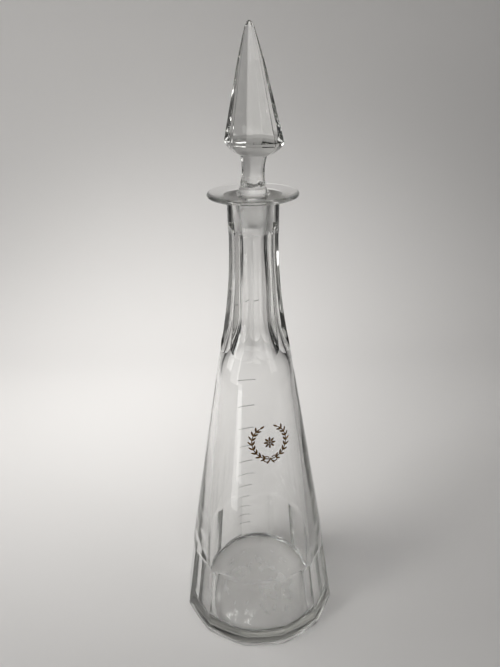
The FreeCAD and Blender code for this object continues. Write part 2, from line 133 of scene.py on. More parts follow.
# Stopper. A rise is a height over the mouth, and a drop a depth under it or under the finial's tip.
JOINT_CLEARANCE = 0.05
PLUG_LENGTH = 14.6
PLUG_BEVEL = 0.6
PLUG_FIRST_RING = 1.0
COLLAR_RADIUS = 7.4
COLLAR_EDGE = 0.5
COLLAR_DROP = 1.2
COLLAR_HEIGHT = 4.2
STOPPER_SIDES = 8
STOPPER_AZIMUTH = -2.0
STEM_ROOT = 0.4
STEM_FOOT_RADIUS = 5.75
STEM_WAIST_RADIUS = 5.1
STEM_WAIST_RISE = 10.3
STEM_TOP_RADIUS = 5.9
STEM_TOP_RISE = 16.2
RIM_RADIUS = 13.15
RIM_RISE = 22.5
RIM_LOW_RADIUS = 12.85
RIM_THICKNESS = 1.4
RIM_HOLLOW = 0.9
FINIAL_HEIGHT = 46.3
FINIAL_RADII = (RIM_RADIUS, 5.75, 2.1, 1.15, 0.45)
FINIAL_DROPS = (FINIAL_HEIGHT, 15.0, 2.4, 0.6, 0.0)
FINIAL_LEAN = 3.5
STEM_TILT = 2.7

# Arrises are polished a little round: the rounding's radius as a share of the flat's distance
FOOT_ARRIS_SHARE = 0.036
NECK_ARRIS_SHARE = 0.075
STOPPER_ARRIS_SHARE = 0.08

# Rings of panels: azimuth of the middle of one panel, number of panels, and the arrises' rounding
FOOT_RING = (FOOT_PANEL_AZIMUTH, FOOT_PANELS, FOOT_ARRIS_SHARE)
NECK_RING = (NECK_PANEL_AZIMUTH, NECK_PANELS, NECK_ARRIS_SHARE)
STOPPER_RING = (STOPPER_AZIMUTH + 180 / STOPPER_SIDES, STOPPER_SIDES, STOPPER_ARRIS_SHARE)

# Glass: how strongly it bends light, and how much light a metre of it takes away, which is the
# density times what the colour lacks of white. Its surface has slow waves, and where it is dull a
# fine grit in patches. A noise has a scale, for each metre, and a detail.
GLASS_BENDING = 1.52
GLASS_DENSITY = 15.0
GLASS_COLOUR = (0.38, 0.39, 0.35)
WAVE_NOISE = (60.0, 2.0)
GRIT_NOISE = (2500.0, 3.0)
PATCH_NOISE = (110.0, 3.0)
BUMP_DEPTH = 0.03

# How dull each finish of the glass is, the roughness of the dullest with its shares in smooth and
# in rough patches, and how dark an engraved line's glass is painted, a painted shade in the groove
POLISHED, WORN, GROUND, ENGRAVED = 0.0, 0.65, 1.0, 2.0
MATT_ROUGHNESS = 0.42
PATCH_LEVELS = (0.35, 0.65)
PATCH_SHARES = (0.6, 1.2)
GROOVE_PAINTED_SHADE = 0.4

# Gilding: worn thin and still thick
GILT_METAL = 0.85
GILT_NOISE = (900.0, 4.0)
GILT_LEVELS = (0.35, 0.65)
THIN_GOLD = (0.10, 0.045, 0.015)
THICK_GOLD = (0.30, 0.17, 0.06)
GILT_ROUGHNESS = (0.25, 0.5)

# Backdrop: a floor that bends up into a wall, a small gap under the foot, and where the paper is
# painted from pale to dark, a painted shade that stands in for a dim room at the sides and front
SWEEP_FRONT = -900.0
SWEEP_BACK = 300.0
SWEEP_BEND = 320.0
SWEEP_TOP = 1300.0
SWEEP_HALF_WIDTH = 1000.0
FLOOR_GAP = 0.04
SIDE_SHADE_FADE = (400.0, 620.0)
FRONT_SHADE_FADE = (-150.0, -420.0)
PALE_PAPER = (0.70, 0.69, 0.68)
PAINTED_SHADE_PAPER = (0.06, 0.06, 0.06)
PAPER_ROUGHNESS = 0.8

# Room: its light is brightest towards the window
WINDOW_DIRECTION = (-0.80, -0.45, 0.35)
ROOM_LEVELS = (0.35, 0.95)
DIM_LIGHT = (0.02, 0.02, 0.02)
BRIGHT_LIGHT = (0.07, 0.07, 0.072)

# Lights: name, place, target, width, height, power, spread in degrees, and what they light. A light
# for the surfaces leaves no highlight in the glass, and a light for the glass leaves only that.
SURFACES, GLASS, BOTH = "surfaces", "glass", "both"
LIGHT_COLOUR = (1.0, 0.99, 0.975)
WIDE_SPREAD = 180
LIGHTS = (
    ("window", (-620, -420, 330), (0, 40, 120), 90, 620, 0.5, WIDE_SPREAD, SURFACES),
    ("left_front", (-700, -300, 330), (0, 100, 60), 420, 620, 1.7, WIDE_SPREAD, SURFACES),
    ("left_side", (-750, 100, 400), (0, 250, 0), 400, 400, 1.3, WIDE_SPREAD, SURFACES),
    ("left_back", (-700, 50, 350), (-60, 360, 0), 250, 250, 0.25, 70, SURFACES),
    ("right_front", (700, -400, 500), (0, 100, 0), 400, 400, 1.0, WIDE_SPREAD, SURFACES),
    ("ceiling", (-100, -500, 800), (0, 0, 0), 700, 500, 2.1, WIDE_SPREAD, BOTH),
    ("pool", (-250, -50, 600), (-40, 300, 0), 200, 200, 0.42, 60, SURFACES),
    ("wide_card", (-146, -158, 55), (0, 0, 60), 46, 108, 0.04, WIDE_SPREAD, GLASS),
    ("slim_card", (-146, -158, 55), (0, 0, 60), 20, 108, 0.035, WIDE_SPREAD, GLASS),
)
LIGHT_BOUNCES = 32
DIFFUSE_BOUNCES = 4

# How finely the surfaces are divided: columns round the axis and over one rounded arris, rows of
# the longer stretches, the least gap between two rows, and the strip beside a crease
COLUMNS = 192
STOPPER_COLUMNS = 96
ARRIS_COLUMNS = 5
HOLLOW_ROWS = 15
FOOT_ROWS = 12
CONE_ROWS = 45
NECK_ROWS = 34
CAVITY_ROWS = 100
SWEEP_ROWS = 24
ROW_GAP = 0.01
CREASE_GAP = 0.4

# How far the middle of a quarter round lies from each straight side that it joins, as a share of
# its radius
QUARTER_BULGE = 1 - math.sqrt(0.5)

# The part of a rounded panel end over the foot that takes even rows, as a share of the wheel
EVEN_END = 0.25

# Camera: height of the picture and focal length in pixels, place, angles in degrees, and the
# nearest and farthest that it sees, in metres
IMAGE_HEIGHT = 667.0
FOCAL_PIXELS = 602.0
SENSOR = 36.0
CAMERA_PLACE = (-2.5, -271.5, 298.8)
CAMERA_PITCH = 25.13
CAMERA_ROLL = -1.08
CLIP_NEAR, CLIP_FAR = 0.01, 20.0


def steps(low, high, count):
    """Rows spaced evenly from a low edge to a high edge, either of which may vary by column."""
    share = np.linspace(0.0, 1.0, count)[:, None]
    low = np.atleast_1d(np.asarray(low, float))
    high = np.atleast_1d(np.asarray(high, float))
    return low + (high - low) * share


def circle_through(first, middle, last):
    """Centre and radius of the circle through three points of an outline."""
    a, b, c = (np.asarray(p, float) for p in (first, middle, last))
    sides = 2 * np.array([b - a, c - a])
    squares = np.array([b @ b - a @ a, c @ c - a @ a])
    centre = np.linalg.solve(sides, squares)
    return centre, float(np.hypot(*(a - centre)))


def arc_points(first, middle, last, count):
    """Points at even angles on the arc through three points of an outline."""
    centre, radius = circle_through(first, middle, last)
    angles = [math.atan2(p[1] - centre[1], p[0] - centre[0]) for p in (first, middle, last)]
    start, turn, end = np.unwrap(angles)
    angle = np.linspace(start, end, count)
    across, up = centre[0] + radius * np.cos(angle), centre[1] + radius * np.sin(angle)
    return np.stack([across, up], axis=1)


def off_centre(angle, centre, panels):
    """Angle from the middle of the nearest of some equal panels."""
    pitch = 2 * math.pi / panels
    return (angle - math.radians(centre) + pitch / 2) % pitch - pitch / 2


def arris_reach(panels, share):
    """Angle to each side of an arris that its rounding takes up."""
    half = math.pi / panels
    centre = (1 - share) / math.cos(half)
    return math.atan2(share * math.sin(half), centre + share * math.cos(half))


def secant(angle, middle, panels, share):
    """Distance of a panelled form from its axis over that of its flats: 1 / cos of the angle off
    the panel's middle on a flat, and on an arris the far side of a circle that touches both."""
    off = off_centre(angle, middle, panels)
    half = math.pi / panels
    centre = (1 - share) / math.cos(half)
    corner = half - np.abs(off)
    inside = np.maximum(share ** 2 - (centre * np.sin(corner)) ** 2, 0.0)
    arc = centre * np.cos(corner) + np.sqrt(inside)
    return np.where(corner < arris_reach(panels, share), arc, 1 / np.cos(off))


def panel_columns(columns, panels, share):
    """Angles of the columns from the first arris on: a few over each rounded arris, the rest over
    the flats."""
    pitch, reach = 2 * math.pi / panels, arris_reach(panels, share)
    rounded = np.linspace(-reach, reach, ARRIS_COLUMNS)
    flat = np.linspace(reach, pitch - reach, columns // panels - ARRIS_COLUMNS + 2)[1:-1]
    return (np.append(rounded, flat) + pitch * np.arange(panels)[:, None]).reshape(-1)


def arris_columns(columns, panels):
    """Marks the columns where a rounded arris begins and ends."""
    place = np.arange(columns) % (columns // panels)
    return (place == 0) | (place == ARRIS_COLUMNS - 1)


# Outside of the blown form: a straight cone, then an arc that leaves it smoothly up to the waist
cone_slope = (CONE_TOP_RADIUS - BLOWN_FOOT_RADIUS) / CONE_TOP_HEIGHT
cone_direction = np.array([cone_slope, 1.0]) / math.hypot(cone_slope, 1.0)
cone_across = np.array([-cone_direction[1], cone_direction[0]])
neck_chord = np.array([WAIST_RADIUS - CONE_TOP_RADIUS, WAIST_HEIGHT - CONE_TOP_HEIGHT])
neck_curve = neck_chord @ neck_chord / (2 * neck_chord @ cone_across)
neck_centre = np.array([CONE_TOP_RADIUS, CONE_TOP_HEIGHT]) + cone_across * neck_curve
neck_slope = (NECK_TOP_RADIUS - WAIST_RADIUS) / (BODY_HEIGHT - LIP_THICKNESS - WAIST_HEIGHT)


def blown_radius(height):
    """Outer radius before cutting: the cone's line, the neck's arc or the slow flare above the
    waist."""
    height = np.asarray(height, float)
    cone = BLOWN_FOOT_RADIUS + cone_slope * height
    drop = np.clip(height, CONE_TOP_HEIGHT, WAIST_HEIGHT) - neck_centre[1]
    neck = neck_centre[0] - np.sqrt(neck_curve ** 2 - drop ** 2)
    flare = WAIST_RADIUS + neck_slope * (height - WAIST_HEIGHT)
    return np.where(height <= CONE_TOP_HEIGHT, cone, np.where(height < WAIST_HEIGHT, neck, flare))


def exit_angle(along, outward, gap):
    """How far round the wheel lies the spot where along sin(a) + outward (1 - cos(a)) + gap = 0."""
    share = np.clip(-(outward + gap) / np.hypot(along, outward), -1.0, 1.0)
    return np.arctan2(outward, along) + np.arcsin(share)


class PanelEnd:
    """The rounded end that the wheel leaves: an arc of the wheel's radius, tangent to the panel."""

    def __init__(self, start, direction, wheel):
        self.start = np.asarray(start, float)
        self.direction = np.asarray(direction, float) / np.hypot(*direction)
        self.outward = np.array([self.direction[1], -self.direction[0]])
        if self.outward[0] < 0:
            self.outward = -self.outward
        self.along, self.across = wheel * self.direction, wheel * self.outward
        self.limit = WHEEL_REACH * wheel

    def spot(self, axis, angle):
        """Radius (axis 0) or height (axis 1) of the spot at an angle round the wheel."""
        forth = self.along[axis] * np.sin(angle)
        return self.start[axis] + forth + self.across[axis] * (1 - np.cos(angle))

    def reach(self, height):
        """Distance of the cut from the axis at a height past the panel's flat."""
        turn = np.sign(self.along[1])
        angle = exit_angle(turn * self.along[1], turn * self.across[1],
                           turn * (self.start[1] - height))
        past = np.abs(height - self.start[1]) > self.limit
        return np.where(past, np.inf, self.spot(0, angle))

    def crease(self, sec, slope, base):
        """Height at which the cut comes out of a round form of radius base + slope * height."""
        angle = exit_angle(self.along[0] * sec - slope * self.along[1],
                           self.across[0] * sec - slope * self.across[1],
                           self.start[0] * sec - base - slope * self.start[1])
        return self.spot(1, angle)


# Foot panels: a plane, and the rounded end above it
foot_flat = math.cos(math.pi / FOOT_PANELS)
foot_low = FOOT_PANEL_RADIUS * foot_flat
foot_high = (float(blown_radius(FOOT_PANEL_HEIGHT)) - PANEL_MARGIN / 2) * foot_flat
foot_slope = (foot_high - foot_low) / FOOT_PANEL_HEIGHT
foot_end = PanelEnd((foot_high, FOOT_PANEL_HEIGHT), (foot_slope, 1.0), FOOT_WHEEL_RADIUS)

# Neck panels: a flat that is hollow along the neck, and a rounded end below and above it
neck_flat = math.cos(math.pi / NECK_PANELS)
neck_heights = (NECK_PANEL_BOTTOM, (NECK_PANEL_BOTTOM + NECK_PANEL_TOP) / 2, NECK_PANEL_TOP)
neck_spots = [(float(blown_radius(h) - PANEL_MARGIN) * neck_flat, h) for h in neck_heights]
flat_centre, flat_radius = circle_through(*neck_spots)


def flat_tangent(spot, way):
    """Direction of the neck panel's arc at a spot, downwards for way -1 and upwards for way 1."""
    across = np.asarray(spot) - flat_centre
    tangent = np.array([-across[1], across[0]])
    return tangent * way * np.sign(tangent[1])


low_end = PanelEnd(neck_spots[0], flat_tangent(neck_spots[0], -1), NECK_WHEEL_RADIUS)
high_end = PanelEnd(neck_spots[2], flat_tangent(neck_spots[2], 1), NECK_WHEEL_RADIUS)


def outer_radius(angle, height):
    """The cut body: at each spot the smallest of the blown radius and the two rings of panels."""
    on_flat = height <= FOOT_PANEL_HEIGHT
    foot = np.where(on_flat, foot_low + foot_slope * height, foot_end.reach(height))
    inside = np.clip(height, NECK_PANEL_BOTTOM, NECK_PANEL_TOP) - flat_centre[1]
    neck = flat_centre[0] - np.sqrt(flat_radius ** 2 - inside ** 2)
    neck = np.where(height < NECK_PANEL_BOTTOM, low_end.reach(height), neck)
    neck = np.where(height > NECK_PANEL_TOP, high_end.reach(height), neck)
    cut = np.minimum(foot * secant(angle, *FOOT_RING), neck * secant(angle, *NECK_RING))
    return np.minimum(blown_radius(height), cut)


def ream(angle, height):
    """Unevenness of hand-blown glass: a few slow waves round the wall that drift with height."""
    return sum(depth * np.cos(turns * angle + drift * height + start)
               for depth, turns, drift, start in WALL_WAVES)


def natural_spline(knots, values, at):
    """Cubic spline through a few stations, with no bending at its two ends."""
    knots, values = np.asarray(knots, float), np.asarray(values, float)
    gaps = np.diff(knots)
    count = len(knots)
    matrix = np.eye(count)
    right = np.zeros(count)
    for k in range(1, count - 1):
        matrix[k, k - 1:k + 2] = gaps[k - 1], 2 * (gaps[k - 1] + gaps[k]), gaps[k]
        slopes = np.diff(values[k - 1:k + 2]) / gaps[k - 1:k + 1]
        right[k] = 6 * (slopes[1] - slopes[0])
    bend = np.linalg.solve(matrix, right)
    k = np.clip(np.searchsorted(knots, at) - 1, 0, count - 2)
    low, high, gap = at - knots[k], knots[k + 1] - at, gaps[k]
    curve = (bend[k] * high ** 3 + bend[k + 1] * low ** 3) / (6 * gap)
    from_low = (values[k] / gap - bend[k] * gap / 6) * high
    from_high = (values[k + 1] / gap - bend[k + 1] * gap / 6) * low
    return curve + from_low + from_high


def cavity_radius(height):
    """Radius of the cavity's wall: the blown radius less the wall's thickness, splined between
    stations."""
    heights = [CORNER_TOP] + [CONE_TOP_HEIGHT * share for share in WALL_HEIGHT_SHARES]
    walls = (BASE_WALL,) + WALL_THICKNESSES
    radii = [float(blown_radius(h)) - wall for h, wall in zip(heights, walls)]
    heights += [NECK_LOW_HEIGHT, NECK_MIDDLE_HEIGHT, NECK_BORE_HEIGHT]
    radii += [NECK_LOW_RADIUS, NECK_MIDDLE_RADIUS, NECK_BORE_RADIUS]
    return natural_spline(heights, radii, height)


def mark_heights():
    """Heights of the dose marks: the cavity below the top mark is split into equal volumes."""
    corner = float(cavity_radius(np.array([CORNER_TOP]))[0]) - FLOOR_CORNER
    height = np.linspace(FLOOR_HEIGHT, TOP_MARK_HEIGHT, VOLUME_SLICES)
    drop = np.clip(CORNER_TOP - height, 0.0, FLOOR_CORNER)
    round_part = corner + np.sqrt(FLOOR_CORNER ** 2 - drop ** 2)
    straight_part = cavity_radius(np.maximum(height, CORNER_TOP))
    wall = np.where(height < CORNER_TOP, round_part, straight_part)
    crowned = np.clip(1 - (height - FLOOR_HEIGHT) / FLOOR_CROWN, 0.0, 1.0) * corner ** 2
    area = math.pi * (wall ** 2 - crowned)
    filled = np.append(0.0, np.cumsum((area[1:] + area[:-1]) / 2 * np.diff(height)))
    doses = filled[-1] * np.arange(1, MARK_COUNT + 1) / MARK_COUNT
    return np.interp(doses, filled, height)


class Rows:
    """Rows of a closed round surface, from its lowest pole outwards, up, and back in to its last
    pole."""

    def __init__(self, columns):
        self.columns = columns
        names = ("angle", "radius", "height", "crease", "arris", "finish")
        self.parts = {name: [] for name in names}

    def add(self, angle, radius, height, crease=False, arris=False, finish=POLISHED):
        """Adds rows. crease marks sharp lines round the form, arris sharp lines up it, and finish
        is that of the strip from this row to the next."""
        values = (angle, radius, height, crease, arris, finish)
        arrays = [np.asarray(v) for v in values]
        count = max(a.shape[0] for a in arrays if a.ndim == 2)
        for name, array in zip(self.parts, arrays):
            self.parts[name].append(np.broadcast_to(array, (count, self.columns)))

    def ring(self, angle, outline, crease_at=(), finish=POLISHED):
        """Adds a round stretch from an outline of radius and height pairs."""
        outline = np.asarray(outline, float)
        crease = np.zeros((len(outline), 1), bool)
        crease[list(crease_at)] = True
        self.add(angle, outline[:, :1], outline[:, 1:], crease, False, finish)

    def grid(self, name):
        """One value of every point of the surface, by row and column."""
        return np.concatenate(self.parts[name])

    def points(self):
        """Places of the grid's points: radius sin(angle), -radius cos(angle), height."""
        angle, radius = self.grid("angle"), self.grid("radius")
        x, y = radius * np.sin(angle), -radius * np.cos(angle)
        return np.stack([x, y, self.grid("height")], axis=-1)


def closed_piece(name, rows, points, poles, material):
    """A closed mesh from a grid that runs round an axis, with a fan at each pole. Faces point
    outwards, and each one says in the attribute dull how dull its finish is; an engraved line's
    value also paints shade into its glass colour."""
    count, columns = points.shape[:2]
    index = np.arange(count * columns).reshape(count, columns)
    right = np.roll(index, -1, axis=1)
    quads = np.stack([index[:-1], right[:-1], right[1:], index[1:]], axis=-1).reshape(-1, 4)
    first, last = count * columns, count * columns + 1
    low_fan = np.stack([np.full(columns, first), right[0], index[0]], axis=-1)
    high_fan = np.stack([index[-1], right[-1], np.full(columns, last)], axis=-1)
    vertices = np.concatenate([points.reshape(-1, 3), np.asarray(poles, float)]) * MM
    mesh = bpy.data.meshes.new(name)
    faces = quads.tolist() + low_fan.tolist() + high_fan.tolist()
    mesh.from_pydata(vertices.tolist(), [], faces)
    mesh.materials.append(material)
    finish = rows.grid("finish")
    strip = np.minimum(finish, np.roll(finish, -1, axis=1))[:-1]
    dull = np.concatenate([strip.reshape(-1), finish[0], finish[-1]]).astype(np.float32)
    mesh.attributes.new("dull", "FLOAT", "FACE").data.foreach_set("value", dull)
    mesh.shade_smooth()
    ends = np.zeros(len(mesh.edges) * 2, np.int32)
    mesh.edges.foreach_get("vertices", ends)
    ends = ends.reshape(-1, 2)
    crease = np.append(rows.grid("crease").reshape(-1), [False, False])
    arris = np.append(rows.grid("arris").reshape(-1), [False, False])
    level = ends[:, 0] // columns == ends[:, 1] // columns
    sharp = np.where(level, crease[ends].all(axis=1), arris[ends].all(axis=1))
    mesh.attributes.new("sharp_edge", "BOOLEAN", "EDGE").data.foreach_set("value", sharp)
    mesh.update()
    piece = bpy.data.objects.new(name, mesh)
    bpy.context.scene.collection.objects.link(piece)
    return piece


def mark_groove(angle, height, index):
    """How deep the engraved line bites at each angle: full depth, tapering off at its two ends."""
    on_neck = height > NECK_PANEL_BOTTOM
    centre = NECK_PANEL_AZIMUTH + 180 if on_neck else MARK_AZIMUTH
    length = NECK_MARK_LENGTH if on_neck else MARK_LENGTH
    if not on_neck and (index + 1) % LONG_MARK_EVERY == 0:
        length = LONG_MARK_LENGTH
    radius = float(blown_radius(height))
    off = np.abs(off_centre(angle, centre, 1)) * radius
    return np.clip((length / 2 - off) / MARK_TAPER, 0.0, 1.0)


def under_foot(rows, angle):
    """Under the foot: the ground hollow, which is a cap of a sphere, the flat that the foot rests
    on and the small bevel."""
    sphere = (HOLLOW_RADIUS ** 2 + HOLLOW_DEPTH ** 2) / (2 * HOLLOW_DEPTH)
    reach = np.linspace(0, HOLLOW_RADIUS, HOLLOW_ROWS)[1:]
    hollow = np.stack([reach, HOLLOW_DEPTH - sphere + np.sqrt(sphere ** 2 - reach ** 2)], axis=1)
    finish = np.where(reach < WORN_RADIUS, WORN, POLISHED)[:, None]
    rows.ring(angle, hollow, crease_at=(-1,), finish=finish)
    sec = secant(angle, *FOOT_RING)
    panel, lean = foot_low * sec, foot_slope * sec
    bevel = np.maximum((panel - FOOT_PANEL_RADIUS + FOOT_BEVEL) / (1 - lean), LEAST_BEVEL)
    rest = (panel + lean * bevel - bevel)[None]
    rows.add(angle, rest, 0.0, True, False)
    arris = arris_columns(COLUMNS, FOOT_PANELS)
    rows.add(angle, outer_radius(angle, bevel[None]), bevel[None], True, arris)


def outer_wall(rows, foot_angle, neck_angle):
    """Up the outside: the foot's panels and their rounded ends, the cone, along which the columns
    turn from the foot's arrises to the neck's, the neck's panels and the plain neck over them."""
    foot_arris = arris_columns(COLUMNS, FOOT_PANELS)
    neck_arris = arris_columns(COLUMNS, NECK_PANELS)
    neck_sec = secant(neck_angle, *NECK_RING)
    crease_foot = foot_end.crease(secant(foot_angle, *FOOT_RING), cone_slope, BLOWN_FOOT_RADIUS)
    crease_low = low_end.crease(neck_sec, cone_slope, BLOWN_FOOT_RADIUS)
    crease_high = high_end.crease(neck_sec, neck_slope, WAIST_RADIUS - neck_slope * WAIST_HEIGHT)
    cone_low = float(crease_foot.max()) + CREASE_GAP
    cone_high = float(crease_low.min()) - CREASE_GAP
    dose_marks = mark_heights()

    def wall(low, high, plain, arris, ceiling=np.inf):
        """Rows between two heights, in order: the plain ones and the engraved lines' own. Where a
        ceiling comes lower, the rows pack together under it."""
        marks = [(h, k) for k, h in enumerate(dose_marks) if low < h < high]
        heights = [h for h in plain if all(abs(h - mark) > MARK_WIDTH for mark, _ in marks)]
        entries = [(h, None, 0) for h in heights]
        for mark, k in marks:
            for share in GROOVE_ROWS:
                own = (mark, k) if abs(share) < GROOVE_SIDE else None
                entries.append((mark + MARK_WIDTH * share, own, int(abs(share) < GROOVE_BED)))
        for row, (height, mark, deep) in enumerate(sorted(entries, key=lambda e: e[0])):
            turn = np.clip((height - cone_low) / (cone_high - cone_low), 0.0, 1.0)
            angle = foot_angle + (neck_angle - foot_angle) * turn
            packed = ceiling - ROW_GAP * (len(entries) - row)
            level = np.minimum(np.full(COLUMNS, height), packed)
            bite = np.zeros(COLUMNS) if mark is None else mark_groove(angle, *mark)
            radius = outer_radius(angle, level) - MARK_DEPTH * bite * deep
            # where a line bites, the engraved finish: rougher, and with painted shade in the
            # groove's glass colour
            finish = np.where(bite > 0, ENGRAVED, POLISHED)
            rows.add(angle, radius[None], level[None], False, arris, finish)

    def cut(angle, heights, arris):
        """Rows of the cut form."""
        rows.add(angle, outer_radius(angle, heights), heights, False, arris)

    def blown(angle, heights, crease=False, arris=False):
        """Rows of the blown form, which the cuts leave as it is."""
        rows.add(angle, blown_radius(heights), heights, crease, arris)

    even_top = FOOT_PANEL_HEIGHT + FOOT_WHEEL_RADIUS * EVEN_END
    flat_rows = np.linspace(0, FOOT_PANEL_HEIGHT, FOOT_ROWS)[1:]
    even_rows = np.linspace(FOOT_PANEL_HEIGHT, even_top, 6)[1:]
    foot_rows = np.append(flat_rows, even_rows)
    wall(FOOT_BEVEL, even_top + CREASE_GAP, foot_rows, foot_arris, crease_foot)
    ending = steps(np.minimum(even_top, crease_foot - ROW_GAP), crease_foot, count=7)
    cut(foot_angle, ending[1:-1], foot_arris)
    blown(foot_angle, crease_foot[None], True, foot_arris)
    blown(foot_angle, crease_foot[None] + CREASE_GAP / 2)
    wall(cone_low, cone_high, np.linspace(cone_low, cone_high, CONE_ROWS), False)
    blown(neck_angle, crease_low[None] - CREASE_GAP / 2)
    blown(neck_angle, crease_low[None], True, neck_arris)
    starting = steps(crease_low, np.full(COLUMNS, NECK_PANEL_BOTTOM), count=9)
    cut(neck_angle, starting[1:], neck_arris)
    flat_rows = np.linspace(NECK_PANEL_BOTTOM, NECK_PANEL_TOP, NECK_ROWS)[1:]
    wall(NECK_PANEL_BOTTOM, NECK_PANEL_TOP, flat_rows, neck_arris)
    ending = steps(np.full(COLUMNS, NECK_PANEL_TOP), crease_high, count=10)
    cut(neck_angle, ending[1:-1], neck_arris)
    blown(neck_angle, crease_high[None], True, neck_arris)
    plain = steps(crease_high, np.full(COLUMNS, FILLET_FOOT_HEIGHT), count=8)
    blown(neck_angle, plain[1:-1])


def lip(rows, angle):
    """The lip: fillet, underside, round edge and the dished top, then the rounded mouth."""
    edge = LIP_RADIUS - LIP_THICKNESS / 2
    fillet_end = (NECK_TOP_RADIUS + LIP_FILLET, LIP_ROOT_HEIGHT)
    fillet_middle = (NECK_TOP_RADIUS + LIP_FILLET * QUARTER_BULGE,
                     LIP_ROOT_HEIGHT - LIP_FILLET * QUARTER_BULGE)
    fillet_start = (NECK_TOP_RADIUS, FILLET_FOOT_HEIGHT)
    rows.ring(angle, arc_points(fillet_start, fillet_middle, fillet_end, count=8))
    rim_low = (edge, BODY_HEIGHT - LIP_THICKNESS)
    rows.ring(angle, steps(fillet_end, rim_low, count=6)[1:-1])
    rim_middle, rim_top = (LIP_RADIUS, BODY_HEIGHT - LIP_THICKNESS / 2), (edge, BODY_HEIGHT)
    rows.ring(angle, arc_points(rim_low, rim_middle, rim_top, count=15))
    mouth_top = (SEAT_TOP_RADIUS + MOUTH_ROUND, MOUTH_HEIGHT)
    rows.ring(angle, steps(rim_top, mouth_top, count=8)[1:-1])
    mouth_middle = (SEAT_TOP_RADIUS + MOUTH_ROUND * QUARTER_BULGE,
                    MOUTH_HEIGHT - MOUTH_ROUND * QUARTER_BULGE)
    mouth_low = (SEAT_TOP_RADIUS, MOUTH_HEIGHT - MOUTH_ROUND)
    rows.ring(angle, arc_points(mouth_top, mouth_middle, mouth_low, count=16)[:-1])


def inside(rows, angle):
    """Inside: the ground seat, the step under it, the bore and the waved wall, the round corner and
    the crowned floor."""
    seat_low = (SEAT_RADIUS - SEAT_TAPER_SHARE * SEAT_DEPTH, MOUTH_HEIGHT - SEAT_DEPTH)
    seat = steps((SEAT_TOP_RADIUS, MOUTH_HEIGHT - MOUTH_ROUND), seat_low, count=10)
    rows.ring(angle, seat, crease_at=(0, -1), finish=GROUND)
    step_foot = MOUTH_HEIGHT - SEAT_DEPTH - SEAT_STEP
    rows.ring(angle, [(NECK_BORE_RADIUS, step_foot)], crease_at=(0,))
    down = np.linspace(step_foot - CREASE_GAP, NECK_BORE_HEIGHT, 8)[:, None]
    rows.add(angle, np.full_like(down, NECK_BORE_RADIUS), down)
    down = np.linspace(NECK_BORE_HEIGHT, CORNER_TOP, CAVITY_ROWS)[1:, None]
    low_fade = np.clip((down - CORNER_TOP) / LOW_WAVE_FADE, 0, 1)
    high_fade = np.clip((NECK_BORE_HEIGHT - down) / HIGH_WAVE_FADE, 0, 1)
    rows.add(angle, cavity_radius(down) + ream(angle, down) * (low_fade * high_fade), down)
    base = float(cavity_radius(np.array([CORNER_TOP]))[0])
    corner_middle = (base - FLOOR_CORNER * QUARTER_BULGE,
                     FLOOR_HEIGHT + FLOOR_CORNER * QUARTER_BULGE)
    corner_end = (base - FLOOR_CORNER, FLOOR_HEIGHT)
    rows.ring(angle, arc_points((base, CORNER_TOP), corner_middle, corner_end, count=12)[1:])
    crown_middle = ((base - FLOOR_CORNER) / 2, FLOOR_HEIGHT + FLOOR_CROWN * DOME_MIDDLE)
    crown = (0.0, FLOOR_HEIGHT + FLOOR_CROWN)
    rows.ring(angle, arc_points(corner_end, crown_middle, crown, count=16)[1:-1])


def body_rows():
    """The whole surface of the body's glass, from the hollow under the foot to the cavity's
    floor."""
    foot_start = math.radians(FOOT_PANEL_AZIMUTH) - math.pi / FOOT_PANELS
    foot_angle = foot_start + panel_columns(COLUMNS, FOOT_PANELS, FOOT_ARRIS_SHARE)
    neck_start = math.radians(NECK_PANEL_AZIMUTH) - math.pi / NECK_PANELS
    neck_angle = neck_start + panel_columns(COLUMNS, NECK_PANELS, NECK_ARRIS_SHARE)
    rows = Rows(COLUMNS)
    under_foot(rows, foot_angle)
    outer_wall(rows, foot_angle, neck_angle)
    lip(rows, neck_angle)
    inside(rows, neck_angle)
    return rows


